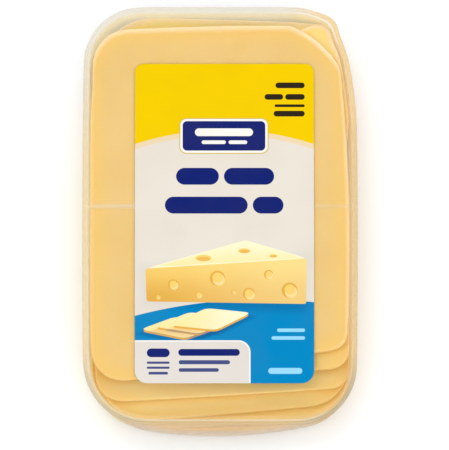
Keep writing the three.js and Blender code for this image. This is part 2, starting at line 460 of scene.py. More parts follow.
# %% [markdown]
# ## Cheese
#
# Semi-hard cheese is a pale, slightly waxy yellow. Light goes a little way into it, red further than blue,
# so its soft edges glow instead of turning grey. Subsurface scattering gives that. The cut face isn't one
# flat colour: it has faint cloudy patches and a fine grain, which also break up the gloss.
#
# Scattering alone leaves the tints between the slices too even, so light and shade are painted into a few
# zones. The hollow under an edge gets a painted shade, more orange, and less so at the upper end. Near their
# edges the slices are painted a deeper yellow for the light that scatters through them, and the lower slices
# are painted lighter for the shade they lie in. The upper ends of the lower slices are painted paler, because
# light comes in through the bare end of the tray. The strip just below the label lies deep in the stack, in
# shade, and is painted lighter. A thin pale line along the edges is a painted highlight, strongest at the
# upper end and faint at the foot.

# %% Material of the cheese
CHEESE_INNER = colour(236, 201, 127)
CHEESE_CLOUD = colour(233, 196, 118)
# Painted light: near its edges the cheese is painted a deeper yellow for the light that scatters through
# them.
CHEESE_PAINTED_EDGE_GLOW = colour(242, 201, 104)
# Painted light: the lower slices are painted lighter to make up for the shade they lie in.
CHEESE_PAINTED_LIGHT_LOWER = colour(251, 223, 152)
# Painted light: the upper ends of the lower slices are painted paler for the light through the tray's bare
# end.
CHEESE_PAINTED_LIGHT_BACK = colour(255, 231, 142)
# A pale tone for the painted highlight along the edges, and for the pale flecks of the grain.
CHEESE_HIGHLIGHT_AND_GRAIN = colour(250, 228, 186)
# Painted shade: an orange shade in the hollow under the edge of the slices above.
CHEESE_PAINTED_SHADE = colour(248, 198, 78)
# Painted light: the shaded strip under the label is painted lighter.
CHEESE_PAINTED_LIGHT_UNDER_LABEL = colour(255, 226, 150)

CLOUD_SCALE = 40
GRAIN_SCALE = 900
EDGE_GLOW_SHARE = 0.8
HOLLOW_SHADE_SHARE = 0.6
UNDER_LABEL_LIGHT_SHARE = 0.5
BACK_LIGHT_SHARE = 0.95
EDGE_HIGHLIGHT_SHARE = 0.28
GRAIN_SHARE = 0.2

# A zone is given by two places between which it comes in. A depth is in millimetres under the rim's top.
UPPER_END_Y = (62 * MM, 76 * MM)
FOOT_Y = (-70 * MM, -46 * MM)
RIGHT_EDGE_X = (30 * MM, 50 * MM)
RIGHT_EDGE_Y = (-62 * MM, -40 * MM)
UNDER_LABEL_X = (28 * MM, 44 * MM)
LOWER_SLICES_DEPTH = (6, 0.8)
BENEATH_FIRST_DEPTH = (4, 1)
FOURTH_BEGINS_DEPTH = (8.4, 7.6)
FOURTH_ENDS_DEPTH = (6.2, 5.2)
EDGE_GLOW_MM = (0.5, 11)
HOLLOW_SHADE_MM = (0.0, 3.6)
EDGE_HIGHLIGHT_MM = (0.4, 2.4)


def under_rim(lower, upper):
    """Two heights, given by how many millimetres they lie under the top of the rim."""
    return rim_top - lower * MM, rim_top - upper * MM


def cheese_material():
    material, nodes = new_material("cheese")
    place = nodes.place()
    x, y, z = nodes.axes(place)
    from_edge = nodes.stored_mm("from_edge")
    from_above = nodes.stored_mm("from_above")
    clouds = nodes.noise(place, CLOUD_SCALE, 3.0, 0.55)
    grain = nodes.noise(place, GRAIN_SCALE, 3.0, 0.6)

    upper = nodes.smooth(y, *UPPER_END_Y)
    beneath = 1 - nodes.smooth(z, *under_rim(*BENEATH_FIRST_DEPTH))
    foot = 1 - nodes.smooth(y, *FOOT_Y)
    fourth = nodes.band(z, under_rim(*FOURTH_BEGINS_DEPTH), under_rim(*FOURTH_ENDS_DEPTH))
    # The strip under the label that lies in shade, which is painted lighter below.
    shaded = fourth * foot * (1 - nodes.smooth(abs(x), *UNDER_LABEL_X))
    hollow_shade = (1 - nodes.smooth(from_above, *HOLLOW_SHADE_MM)) * (HOLLOW_SHADE_SHARE - upper * 0.5) * (1 - shaded * 0.8)
    right_edge = nodes.smooth(x, *RIGHT_EDGE_X) * nodes.smooth(y, *RIGHT_EDGE_Y)
    # Painted highlight: a thin pale line along the edges, strongest at the upper end.
    highlight_share = (EDGE_HIGHLIGHT_SHARE - foot * 0.18 + right_edge * 0.3 + upper * 0.6).clamped()
    highlight_from, highlight_to = EDGE_HIGHLIGHT_MM
    painted_edge_highlight = (1 - nodes.smooth(from_edge, highlight_from, highlight_to + upper)) * highlight_share

    body = nodes.blend(nodes.smooth(clouds, 0.4, 0.75), CHEESE_INNER, CHEESE_CLOUD)
    # Painted light: lower slices lighter.
    body = nodes.blend(1 - nodes.smooth(z, *under_rim(*LOWER_SLICES_DEPTH)), body, CHEESE_PAINTED_LIGHT_LOWER)
    # Painted light: a deeper yellow near the edges.
    body = nodes.blend((1 - nodes.smooth(from_edge, *EDGE_GLOW_MM)) * EDGE_GLOW_SHARE, body, CHEESE_PAINTED_EDGE_GLOW)
    # Painted shade in the hollow under the edges above.
    body = nodes.blend(hollow_shade, body, CHEESE_PAINTED_SHADE)
    body = nodes.blend(shaded * UNDER_LABEL_LIGHT_SHARE, body, CHEESE_PAINTED_LIGHT_UNDER_LABEL)
    # Painted light at the upper ends of the lower slices.
    body = nodes.blend(upper * beneath * BACK_LIGHT_SHARE, body, CHEESE_PAINTED_LIGHT_BACK)
    body = nodes.blend(painted_edge_highlight, body, CHEESE_HIGHLIGHT_AND_GRAIN)
    body = nodes.blend(nodes.smooth(grain, 0.55, 0.8) * GRAIN_SHARE, body, CHEESE_HIGHLIGHT_AND_GRAIN)
    cheese = nodes.add("ShaderNodeBsdfPrincipled", {"subsurface_method": "RANDOM_WALK"}, {
        "Base Color": body,
        "Roughness": 0.38 + grain * 0.16,
        "Subsurface Weight": 0.6,
        "Subsurface Radius": (1.0, 0.5, 0.2),
        "Subsurface Scale": 1.2 * MM,
        "Specular IOR Level": 0.3,
        "Coat Weight": 0.08,
        "Coat Roughness": 0.25,
        "Normal": nodes.bump(clouds * 0.5 + grain * 0.2, strength=0.15, distance=0.4 * MM),
    })
    return finish(material, nodes, cheese.outputs[0])


CHEESE = cheese_material()

# %% [markdown]
# Ten slices lie in the tray. The upper ones reach past those under them at the upper end of the pack and
# the lower ones at the lower end, so both ends sag a little. Only the last two, which lie on the tray's
# floor, stay nearly flat. The model leaves a gap between slices, and here each one is thickened until they
# nearly touch, as real slices do.
#
# Soft cheese also settles against the tray's wall. Each outline is moved out there until it nearly meets the
# wall: at the left side of every slice, at the upper right corners of slices 2 and 3, a little along the
# upper edge of slice 3, and at the lower ends of slices 6 to 10. Scaling whole slices would have been
# simpler, but it would move the edges that already fit.

# %% Press the slices to the wall
WALL_INSET = 3.35 * MM
WALL_INSET_STEP = 0.05 * MM
PRESSING_ROUNDS = 3
CORNER_PRESSED = (1, 2)
UPPER_EDGE_PRESSED = 2
UPPER_EDGE_SHARE = 0.1
FOOT_PRESSED_FROM = 5

# Two places between which the pressing begins or ends, in millimetres or degrees.
LEFT_SIDE = (35, 48)
LEFT_SIDE_ENDS = (40, 58)
CORNER_BEGINS = (28, 42)
CORNER_ENDS = (58, 70)
UPPER_EDGE = (60, 75)
FOOT_EDGE = (40, 62)


def ramp(value, low, high):
    share = np.clip((value - low) / (high - low), 0, 1)
    return share * share * (3 - 2 * share)


def pressed_out(ring, order):
    """The outline of a slice, moved out towards the tray's wall where the slice lies against it."""
    places = np.array([tuple(p) for p in ring])
    for _ in range(PRESSING_ROUNDS):
        x, y = places[:, 0] / MM, places[:, 1] / MM
        turn = np.degrees(np.arctan2(y, x))
        share = ramp(-x, *LEFT_SIDE) * (1 - ramp(abs(y), *LEFT_SIDE_ENDS))
        if order in CORNER_PRESSED:
            share = np.maximum(share, ramp(turn, *CORNER_BEGINS) * (1 - ramp(turn, *CORNER_ENDS)))
        if order == UPPER_EDGE_PRESSED:
            share = np.maximum(share, ramp(y, *UPPER_EDGE) * UPPER_EDGE_SHARE)
        if order >= FOOT_PRESSED_FROM:
            share = np.maximum(share, ramp(-y, *FOOT_EDGE))
        room = inside_by(places, RIM_OUTLINE) - WALL_INSET - order * WALL_INSET_STEP
        outwards = np.clip(room, 0, None) * share / np.hypot(places[:, 0], places[:, 1])
        places[:, :2] *= (1 + outwards)[:, None]
    return [Vector(p) for p in places]


slice_nodes = sorted(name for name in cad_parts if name.startswith("slice_"))
slice_outlines = [pressed_out(outline_of(node, 1), order) for order, node in enumerate(slice_nodes)]
print("slices:", len(slice_outlines))

# %% [markdown]
# Each slice also stores, on its points, how far they lie from the edge of the slices above. The material
# reads it to paint an orange shade into the hollow under that edge, on top of the rendered shadow, which
# alone comes out grey.

# %% Make the slices
SLICE_EXTRA = 0.18 * MM
SLICE_EDGE = 0.95 * MM
STACK_WAVE = 0.35 * MM
STACK_WAVE_SIZE = 34 * MM
LYING_WAVE_SHARE = 0.3
SAGGING_SLICES = 8
UPPER_SAG = 0.9 * MM
UPPER_SAG_FROM = 60 * MM
LOWER_SAG = 1.2 * MM
LOWER_SAG_FROM = -70 * MM
SAG_REACH = 28 * MM
SLICES_SEEN_ABOVE = 2


def points_of(piece):
    flat = np.empty(len(piece.data.vertices) * 3)
    piece.data.vertices.foreach_get("co", flat)
    return flat.reshape(-1, 3)


def mark(piece, name, values):
    """Stores a number on each point of a piece, for its material to read."""
    attribute = piece.data.attributes.new(name, "FLOAT", "POINT")
    attribute.data.foreach_set("value", np.ascontiguousarray(values, dtype=np.float32))


for order, (node, ring) in enumerate(zip(slice_nodes, slice_outlines)):
    low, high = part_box(node)
    sagging = order < SAGGING_SLICES
    piece = make_sheet(
        f"cheese_{node}", node, ring, CHEESE,
        Thickness=high.z - low.z + SLICE_EXTRA,
        Edge=SLICE_EDGE,
        Wave_height=STACK_WAVE * (1 if sagging else LYING_WAVE_SHARE),
        Wave_size=STACK_WAVE_SIZE,
        Upper_sag=UPPER_SAG if sagging else 0.0,
        Upper_from=UPPER_SAG_FROM,
        Lower_sag=LOWER_SAG if sagging else 0.0,
        Lower_from=LOWER_SAG_FROM,
        Sag_reach=SAG_REACH,
    )
    places = points_of(piece)
    above = slice_outlines[max(0, order - SLICES_SEEN_ABOVE):order]
    beyond = [-inside_by(places, outline) for outline in above]
    mark(piece, "from_above", np.min(beyond, axis=0) if beyond else np.ones(len(places)))

# %% [markdown]
# ## Clear plastic
#
# The tray and the film are thin and clear. Real refraction through a wall half a millimetre thick hardly
# shows and costs much time, so the plastic is a mix instead: mostly a transparent surface, and the rest a
# glossy, slightly milky one. Seen along the surface more of it is gloss, so the rim and the bends draw
# themselves as bright and grey lines. The share comes from Facing, which is the same on both sides of the
# wall. The Fresnel node isn't: on the way out it counts as the inside of glass and would block all slanting
# light.
#
# Clear plastic takes its colour from what is behind it and from the light that cheese throws through it. Both
# change along the pack, so they are painted into the milky part by zones, as painted light: warm at the
# sides, more so on the right where the slices press against it, and grey where the tray is bare. The light
# that it passes on from behind is one plain colour, set on the shader itself, because the export can't bake a
# tint there.

# %% Mix for clear plastic
PASSED_LIGHT = colour(242, 221, 172)
RIPPLE_SCALE = 70
RIPPLE_DEPTH = 0.6 * MM
HAZE_POWER = 2
MIRROR_POWER = 5


def clear_mix(material, nodes, tint, milk, haze, edge_haze, mirror, roughness, relief, glow=0.0):
    """A mix of a transparent surface and a glossy milky one. haze is the milk's share where it faces the
    eye, edge_haze and mirror are added towards the grazing view, and glow is how much of the milk passes
    light on from behind."""
    bump = nodes.bump(nodes.noise(nodes.place(), RIPPLE_SCALE), strength=relief, distance=RIPPLE_DEPTH)
    facing = nodes.value(nodes.add("ShaderNodeLayerWeight", None, {"Blend": 0.5, "Normal": bump}), "Facing")
    amount = (haze + facing ** HAZE_POWER * edge_haze + facing ** MIRROR_POWER * mirror).clamped()
    clear = nodes.add("ShaderNodeBsdfTransparent", None, {"Color": tint}).outputs[0]
    body = nodes.add("ShaderNodeBsdfPrincipled", None, {
        "Base Color": milk, "Roughness": roughness, "Specular IOR Level": 0.4, "Normal": bump,
    }).outputs[0]
    if glow:
        passed = nodes.add("ShaderNodeBsdfTranslucent", None, {"Color": PASSED_LIGHT}).outputs[0]
        body = nodes.add("ShaderNodeMixShader", None, {0: glow, 1: body, 2: passed}).outputs[0]
    mix = nodes.add("ShaderNodeMixShader", None, {0: amount, 1: clear, 2: body}).outputs[0]
    return finish(material, nodes, mix)


# %% [markdown]
# ## Tray
#
# The tray's material goes by height, by place, and by how far a point lies inwards from the rim's outline.
# The flange is the flat rim, the bend is where it turns down into the wall, and the brim is its outermost
# edge. The bend gets a painted highlight, a bright line, and the brim and the foot's corners get painted
# shade, a darker grey. A thin dark line runs along the rim at the foot. The distance is stored on the points,
# because a rounded rectangle has no simple formula for it.

# %% Material of the tray
TRAY_TINT = (0.998, 0.995, 0.985, 1)
# Painted light: the wall and rim tones stand in for the cheese behind the plastic and the light it throws.
WALL_WARM = colour(255, 240, 144)
WALL_PRESSED = colour(251, 192, 40)
WALL_BARE = colour(255, 255, 252)
WALL_FOOT = colour(241, 232, 224)
RIM_WARM = colour(251, 232, 192)
RIM_RIGHT = colour(238, 198, 104)
RIM_PRESSED = colour(255, 213, 101)
RIM_FOOT = colour(228, 195, 144)
RIM_BARE = colour(228, 236, 246)
# Painted shade: the foot's corners are darker grey.
CORNER_SHADE_LEFT = colour(201, 197, 194)
CORNER_SHADE_RIGHT = colour(161, 150, 141)
# Painted highlight: a bright line along the bend.
BEND_HIGHLIGHT_WARM = colour(255, 250, 234)
BEND_HIGHLIGHT_BARE = colour(250, 252, 254)
# A thin dark line along the rim at the foot.
FOOT_DARK_LINE = colour(158, 107, 40)
# Painted shade: a darker grey along the outermost edge.
BRIM_SHADE = colour(198, 187, 171)

TRAY_RIGHT_X = (36 * MM, 50 * MM)
PRESSED_SLANT = 0.35
PRESSED_OUT = (56 * MM, 72 * MM)
PRESSED_Y = (30 * MM, 50 * MM)
BARE_END_Y = (62 * MM, 84 * MM)
BARE_LEFT_X = (30 * MM, 46 * MM)
BARE_LEFT_Y = (20 * MM, 60 * MM)
FOOT_WALL_Y = (84 * MM, 89 * MM)
FOOT_CORNER_Y = (56 * MM, 74 * MM)
FOOT_CORNER_X = (26 * MM, 42 * MM)
RIM_DEPTH = (3, 1.2)
FLANGE_MM = (2.0, 2.4)
WALL_MM = (6.0, 10.0)
BEND_MM = ((1.7, 2.4), (2.9, 3.6))
BRIM_MM = (0.1, 0.6)
FOOT_DARK_LINE_MM = ((1.0, 1.4), (1.5, 1.9))


def tray_material():
    material, nodes = new_material("clear_tray_plastic")
    x, y, z = nodes.axes(nodes.place())
    inwards = nodes.stored_mm("from_outline")
    high = nodes.smooth(z, *under_rim(*RIM_DEPTH))
    right = nodes.smooth(x, *TRAY_RIGHT_X)
    pressed = nodes.smooth(x + y * PRESSED_SLANT, *PRESSED_OUT) * nodes.smooth(y, *PRESSED_Y)
    bare_end = nodes.smooth(y, *BARE_END_Y) * (1 - pressed)
    bare_left = nodes.smooth(-x, *BARE_LEFT_X) * nodes.smooth(y, *BARE_LEFT_Y)
    bare = bare_end.most(bare_left)
    foot = nodes.smooth(-y, *FOOT_WALL_Y)
    corner = nodes.smooth(-y, *FOOT_CORNER_Y) * nodes.smooth(abs(x), *FOOT_CORNER_X)
    flange = high * (1 - nodes.smooth(inwards, *FLANGE_MM))
    wall = (1 - nodes.smooth(inwards, *WALL_MM) - flange).clamped() * (1 - foot)
    bend = nodes.band(inwards, *BEND_MM) * high
    brim = (1 - nodes.smooth(inwards, *BRIM_MM)) * high
    line = nodes.band(inwards, *FOOT_DARK_LINE_MM) * high * foot

    rim = nodes.blend(right, RIM_WARM, RIM_RIGHT)
    rim = nodes.blend(pressed, rim, RIM_PRESSED)
    rim = nodes.blend(foot, rim, RIM_FOOT)
    # Painted shade at the foot's corners.
    rim = nodes.blend(corner, rim, nodes.blend(right, CORNER_SHADE_LEFT, CORNER_SHADE_RIGHT))
    rim = nodes.blend(bare_end.most(bare_left * 0.8), rim, RIM_BARE)
    milk = nodes.blend(right, WALL_WARM, WALL_PRESSED)
    milk = nodes.blend(bare, milk, WALL_BARE)
    milk = nodes.blend(foot, milk, WALL_FOOT)
    milk = nodes.blend(flange, milk, rim)
    # Painted highlight along the bend.
    milk = nodes.blend(bend * (1 - right.most(pressed) * 0.9), milk, nodes.blend(bare, BEND_HIGHLIGHT_WARM, BEND_HIGHLIGHT_BARE))
    milk = nodes.blend(line * 0.7, milk, FOOT_DARK_LINE)
    # Painted shade along the brim.
    milk = nodes.blend(brim * 0.45, milk, BRIM_SHADE)
    return clear_mix(
        material, nodes, tint=TRAY_TINT, milk=milk,
        haze=0.08 + flange * (0.42 + corner * 0.16) + bend * (0.25 - pressed * 0.2) + foot * 0.13,
        edge_haze=0.35 + wall * 0.4 + pressed * 0.2,
        mirror=0.12, roughness=0.28, relief=0.1, glow=0.4,
    )


TRAY_PLASTIC = tray_material()

# %% [markdown]
# The tray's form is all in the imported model, with its bead, drawn-in shoulder and pushed-out end wall, but
# its faces are coarse. Making it again from curves would only repeat that work. A copy is merged, its
# triangles are joined to quads, and a Subdivision Surface rounds it.

# %% Make the tray
QUAD_FACE_ANGLE = math.radians(40)
QUAD_SHAPE_ANGLE = math.radians(60)
ROUNDING_LEVELS = 2


def merged_copy(node, name):
    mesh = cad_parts[node].data.copy()
    mesh.name = name
    mesh.materials.clear()
    shape = bmesh.new()
    shape.from_mesh(mesh)
    bmesh.ops.remove_doubles(shape, verts=shape.verts, dist=DOUBLES_WITHIN)
    bmesh.ops.join_triangles(
        shape, faces=shape.faces,
        angle_face_threshold=QUAD_FACE_ANGLE, angle_shape_threshold=QUAD_SHAPE_ANGLE,
    )
    shape.to_mesh(mesh)
    shape.free()
    copy = bpy.data.objects.new(name, mesh)
    bpy.context.scene.collection.objects.link(copy)
    return copy


tray = merged_copy("tray", "clear_tray")
mark(tray, "from_outline", inside_by(points_of(tray), RIM_OUTLINE))
tray.data.materials.append(TRAY_PLASTIC)
tray.data.shade_smooth()
rounding = tray.modifiers.new("rounding", "SUBSURF")
rounding.levels = rounding.render_levels = ROUNDING_LEVELS
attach(tray, "root")
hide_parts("tray")
print("tray faces before rounding:", len(tray.data.polygons))

# %% [markdown]
# ## Lid film
#
# The film is stretched over the pack and sealed on the rim. It is a sheet like the slices, only thinner. It
# shows by its gloss, by a milky band where it is sealed, and by one faint crease across the pack that fades
# towards the right. The crease is raised in the mesh, and the material paints a faint highlight on it,
# because a ridge this low hardly catches the light. Where the milky band lies over cheese, it is painted
# with the colour of the cheese that shows through it.

# %% Make the lid film
LID_TINT = (0.999, 0.999, 0.997, 1)
SEAL_MILK = colour(250, 244, 230)
# Painted light: over the cheese the seal's milk is painted with the colour that shows through it.
SEAL_OVER_CHEESE = colour(254, 236, 190)
SEAL_AT_BARE_END = colour(255, 232, 172)
CREASE_FADES_X = (-58 * MM, 40 * MM)
LID_BARE_Y = (60 * MM, 78 * MM)
LID_BARE_X = (36 * MM, 48 * MM)
SEAL_MM = (2.6, 4.4)
SEAL_WIDER_MM = 2.4
BARE_SEAL_MM = (1.8, 4.0)
FILM_THICKNESS = 0.12 * MM
FILM_DROP = 0.06 * MM
FILM_CREASE = 0.07 * MM
THIN_EDGE = 0.05 * MM
THIN_WAVES = {"Wave_height": 0.12 * MM, "Wave_size": 22 * MM, "Crease_place": CREASE_PLACE}


def lid_material():
    material, nodes = new_material("clear_lid_film")
    x, y, _ = nodes.axes(nodes.place())
    inwards = nodes.stored_mm("from_edge")
    off_crease = (y - CREASE_PLACE) / CREASE_HALF_WIDTH
    crease = (-(off_crease * off_crease)).math("EXPONENT") * (1 - nodes.smooth(x, *CREASE_FADES_X) * 0.6)
    bare_end = nodes.smooth(y, *LID_BARE_Y) * (1 - nodes.smooth(x, *LID_BARE_X))
    seal_from, seal_to = SEAL_MM
    seal = 1 - nodes.smooth(inwards, seal_from, seal_to + bare_end * SEAL_WIDER_MM)
    milk = nodes.blend(seal * (1 - bare_end), SEAL_MILK, SEAL_OVER_CHEESE)
    milk = nodes.blend(bare_end * nodes.smooth(inwards, *BARE_SEAL_MM), milk, SEAL_AT_BARE_END)
    return clear_mix(
        material, nodes, tint=LID_TINT, milk=milk,
        # The crease's share of milk is a painted highlight.
        haze=0.012 + crease * 0.2 + seal * (0.1 + bare_end * 0.12),
        edge_haze=0.06, mirror=0.45, roughness=0.1, relief=0.2,
    )


film_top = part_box("lid_film")[1].z
make_sheet(
    "clear_film", "lid_film", outline_of("lid_film", 0), lid_material(),
    Around=360, Across=101, Height=film_top - FILM_DROP, Thickness=FILM_THICKNESS, Edge=THIN_EDGE,
    Crease_height=FILM_CREASE, **THIN_WAVES,
)

# %% [markdown]
# ## Label
#
# The label is smooth printed paper. Its print is fields of flat colour with crisp borders, which neither
# noise nor points of the mesh can draw. Each shape is therefore worked out in the material as a distance to
# its border: below zero is inside, and the change of colour takes less than a tenth of a millimetre. All of
# it is in millimetres from the label's middle.

# %% Distances for the print
PRINT_SOFTNESS = 0.09


class Print:
    """Draws flat shapes over each other on the label's plane, in millimetres from its middle."""

    def __init__(self, nodes, x, y, paper):
        self.nodes = nodes
        self.x = x
        self.y = y
        self.colour = paper

    def box(self, x, y, half_x, half_y, radius):
        out_x = abs(self.x - x) - (half_x - radius)
        out_y = abs(self.y - y) - (half_y - radius)
        corner = self.nodes.length(out_x.most(0), out_y.most(0))
        return corner + out_x.most(out_y).least(0) - radius

    def bar(self, x, y, half_x, half_y):
        out_x = (abs(self.x - x) - (half_x - half_y)).most(0)
        return self.nodes.length(out_x, self.y - y) - half_y

    def disc(self, x, y, radius):
        return self.nodes.length(self.x - x, self.y - y) - radius

    def oval(self, x, y, half_x, half_y):
        return (self.nodes.length((self.x - x) / half_x, (self.y - y) / half_y) - 1) * min(half_x, half_y)

    def polygon(self, corners, rounding):
        """A shape that bulges everywhere. Its corners run anticlockwise and are rounded off a little."""
        distance = None
        for (x, y), (next_x, next_y) in zip(corners, corners[1:] + corners[:1]):
            length = math.hypot(next_x - x, next_y - y)
            out_x, out_y = (next_y - y) / length, (x - next_x) / length
            beyond = self.x * out_x + self.y * out_y - (x * out_x + y * out_y)
            distance = distance.math("SMOOTH_MAX", beyond, rounding) if distance else beyond
        return distance

    def inside(self, distance):
        return (0.5 - distance / PRINT_SOFTNESS).clamped()

    def ink(self, distance, shade, strength=1.0):
        self.colour = self.nodes.blend(self.inside(distance) * strength, self.colour, shade)

    def shadow(self, distance, width, shade, strength):
        mask = 1 - self.nodes.smooth(distance, 0.0, width)
        self.colour = self.nodes.blend(mask * strength, self.colour, shade)

    def ink_boxes(self, middle, boxes):
        for half_x, half_y, radius, shade in boxes:
            self.ink(self.box(*middle, half_x, half_y, radius), shade)

    def ink_bars(self, bars, shade):
        """Bars of one colour, inked at once by the distance to the nearest of them."""
        nearest = self.bar(*bars[0])
        for bar in bars[1:]:
            nearest = nearest.least(self.bar(*bar))
        self.ink(nearest, shade)


# %% [markdown]
# The shapes are plain ones: an arched yellow field, a white field, a blue foot, bars in rows, a plaque, and a
# pale chip in the corner. The arch and the foot are parts of very large discs. Each group of bars and boxes
# is a table of numbers, and one loop inks it, so that a bar is moved by changing one line.

# %% Fields, plaque and bars
YELLOW = colour(238, 200, 0)
PALE_GOLD = colour(234, 212, 174)
OFF_WHITE = colour(227, 220, 208)
BLUE = colour(0, 133, 192)
LIGHT_BLUE = colour(150, 214, 244)
NAVY = colour(18, 34, 110)
FADED_NAVY = colour(70, 80, 130)
INK = colour(44, 36, 26)
WHITE = colour(246, 243, 236)
CHIP_WHITE = colour(223, 217, 210)
GOLD = colour(206, 178, 70)

ARCH_TOP = 41.0
ARCH_RADIUS = 122
ARCH_LINE = 2.2
FOOT_TOP = -33.5
FOOT_RADIUS = 210
FOOT_MIDDLE = 16
PLAQUE = (-0.2, 38.4)
CHIP = (-20.0, -65.0)

# Boxes that lie in each other, by half their width and height, the radius of their corners and their colour.
PLAQUE_BOXES = ((19.2, 7.9, 3.0, GOLD), (18.8, 7.5, 2.7, WHITE), (17.8, 6.5, 1.9, NAVY))
CHIP_BOXES = ((31.2, 13.6, 5.2, WHITE), (30.6, 13.0, 4.7, CHIP_WHITE))

# Bars by their middle's x and y and half their length and height.
PLAQUE_BARS = ((-0.2, 40.0, 12.5, 1.7), (-4.6, 35.6, 5.2, 0.8), (5.8, 35.6, 4.0, 0.8))
LARGE_BARS = ((-11.6, 20.6, 9.2, 3.7), (10.6, 20.6, 10.8, 3.7), (-7.8, 7.9, 17.8, 3.7), (18.8, 7.9, 6.6, 3.7))
NOTE_BARS = (
    (28.3, 60.7, 6.3, 1.25), (21.3, 55.6, 4.0, 1.25), (30.4, 55.6, 4.2, 1.25),
    (28.1, 51.7, 6.5, 0.6), (27.9, 48.2, 6.7, 1.25),
)
FOOT_BARS = ((28.6, -47.0, 6.0, 0.75), (27.4, -50.4, 7.2, 0.75), (26.1, -64.8, 7.3, 1.3))
CHIP_BARS = ((-28.4, -56.9, 4.9, 1.9), (-6.6, -56.7, 13.2, 1.5))
FINE_BARS = (
    (-28.4, -61.2, 4.9, 0.5), (-28.4, -63.4, 4.9, 0.5), (-28.4, -65.8, 4.2, 0.6),
    (-8.6, -61.0, 11.0, 0.9), (-11.0, -64.4, 8.6, 0.8),
)


def foot_of(sheet):
    return sheet.disc(FOOT_MIDDLE, FOOT_TOP - FOOT_RADIUS, FOOT_RADIUS)


def draw_fields(sheet):
    arch = sheet.disc(0, ARCH_TOP - ARCH_RADIUS, ARCH_RADIUS)
    sheet.ink(-(arch + ARCH_LINE), PALE_GOLD)
    sheet.ink(-arch, YELLOW)
    sheet.ink(foot_of(sheet), BLUE)


def draw_plaque_and_bars(sheet):
    sheet.ink_boxes(PLAQUE, PLAQUE_BOXES)
    sheet.ink_bars(PLAQUE_BARS, WHITE)
    sheet.ink_bars(LARGE_BARS, NAVY)
    sheet.ink_bars(NOTE_BARS, INK)
    sheet.ink_bars(FOOT_BARS, LIGHT_BLUE)


def draw_chip(sheet):
    sheet.ink_boxes(CHIP, CHIP_BOXES)
    sheet.ink_bars(CHIP_BARS, NAVY)
    sheet.ink_bars(FINE_BARS, FADED_NAVY)


all_bars = PLAQUE_BARS + LARGE_BARS + NOTE_BARS + FOOT_BARS + CHIP_BARS + FINE_BARS
print("bars on the label:", len(all_bars))

# %% [markdown]
# The picture is a wedge of cheese with round holes and three slices before it. A mesh of its own would stand
# out of the paper, so it is drawn like the rest, from back to front: shadow, cut face, top face, the lit
# edge of the top, then the holes. A hole is a dark disc with a lit one and its own floor in it, each a
# little off its middle. A shadow on another slice is amber and one on the blue foot is deep blue, so that
# it never looks grey.

# %% Picture of the cheese
DEEP_BLUE = colour(0, 92, 150)
CREAM_LIGHT = colour(252, 242, 204)
CREAM = colour(250, 230, 164)
BUTTER = colour(244, 207, 112)
AMBER = colour(226, 172, 74)

WEDGE_TIP = (-34.0, -20.0)
WEDGE_BACK = (9.0, -7.5)
WEDGE_END = (35.5, -15.5)
WEDGE_DROP = 20.0
TIP_DROP_SHARE = 0.72
CUT_ROUNDING = 1.6
TOP_ROUNDING = 1.4
LIT_EDGE = 0.25
WEDGE_SHADOW_ROUNDING = 6
WEDGE_SHADOW_WIDTH = 5
FACE_HOLES = (
    (-22.0, -27.0, 2.3), (-11.0, -31.5, 1.5), (-3.0, -24.2, 3.3), (10.5, -31.0, 2.6),
    (19.0, -22.6, 2.0), (28.0, -29.5, 3.4), (-28.5, -32.5, 1.1), (4.0, -30.2, 1.0),
)
TOP_HOLES = ((-9.0, -15.4, 3.4), (8.5, -12.2, 2.6), (21.0, -14.4, 1.8))

# Where each printed slice lies and how far it is tilted, and the corners of all of them, each with the way
# in which the tilt moves it.
PRINTED_SLICES = ((-19.5, -45.6, 0.0), (-13.5, -43.6, 0.9), (-6.5, -41.9, 2.0))
PRINTED_CORNERS = ((-16.5, -1.0, -1), (3.0, -5.0, 0), (18.0, 0.6, 1), (-1.5, 4.6, 0))
PRINTED_ROUNDING = 2.2
PRINTED_SIDE_DROP = 0.9
PRINTED_SHINE_REACH = 12
PRINTED_SHADOW_DROP = 1.9
PRINTED_SHADOW_ROUNDING = 2.5
PRINTED_SHADOW_WIDTH = 1.6
PRINTED_SHADOW_SHARE = 0.5


def draw_wedge(sheet):
    nodes = sheet.nodes
    tip, back, end = WEDGE_TIP, WEDGE_BACK, WEDGE_END
    low_tip = (tip[0] + 0.6, tip[1] - WEDGE_DROP * TIP_DROP_SHARE)
    low_end = (end[0] - 0.4, end[1] - WEDGE_DROP)
    cast = sheet.polygon([low_tip, (low_end[0] - 2, low_end[1] - 1), end, tip], WEDGE_SHADOW_ROUNDING)
    sheet.shadow(cast, WEDGE_SHADOW_WIDTH, DEEP_BLUE, sheet.inside(foot_of(sheet)) * 0.4 + 0.06)
    cut = nodes.blend(nodes.smooth(sheet.y, low_end[1], end[1]), AMBER, BUTTER)
    cut = nodes.blend(nodes.smooth(sheet.x, tip[0], end[0]) * 0.45, cut, CREAM)
    sheet.ink(sheet.polygon([tip, low_tip, low_end, end], CUT_ROUNDING), cut)
    top = sheet.polygon([tip, end, back], TOP_ROUNDING)
    sheet.ink(top, nodes.blend(nodes.smooth(sheet.y, tip[1], back[1]), CREAM, CREAM_LIGHT))
    sheet.ink(abs(top + LIT_EDGE) - LIT_EDGE, CREAM_LIGHT, 0.8)
    for x, y, radius in FACE_HOLES:
        sheet.ink(sheet.disc(x, y, radius), AMBER)
        sheet.ink(sheet.disc(x + radius * 0.18, y - radius * 0.2, radius * 0.78), CREAM, 0.75)
        sheet.ink(sheet.disc(x + radius * 0.02, y + radius * 0.1, radius * 0.66), BUTTER)
    for x, y, radius in TOP_HOLES:
        sheet.ink(sheet.oval(x, y, radius, radius * 0.42), BUTTER)
        sheet.ink(sheet.oval(x + 0.1, y - radius * 0.1, radius * 0.84, radius * 0.28), AMBER, 0.7)


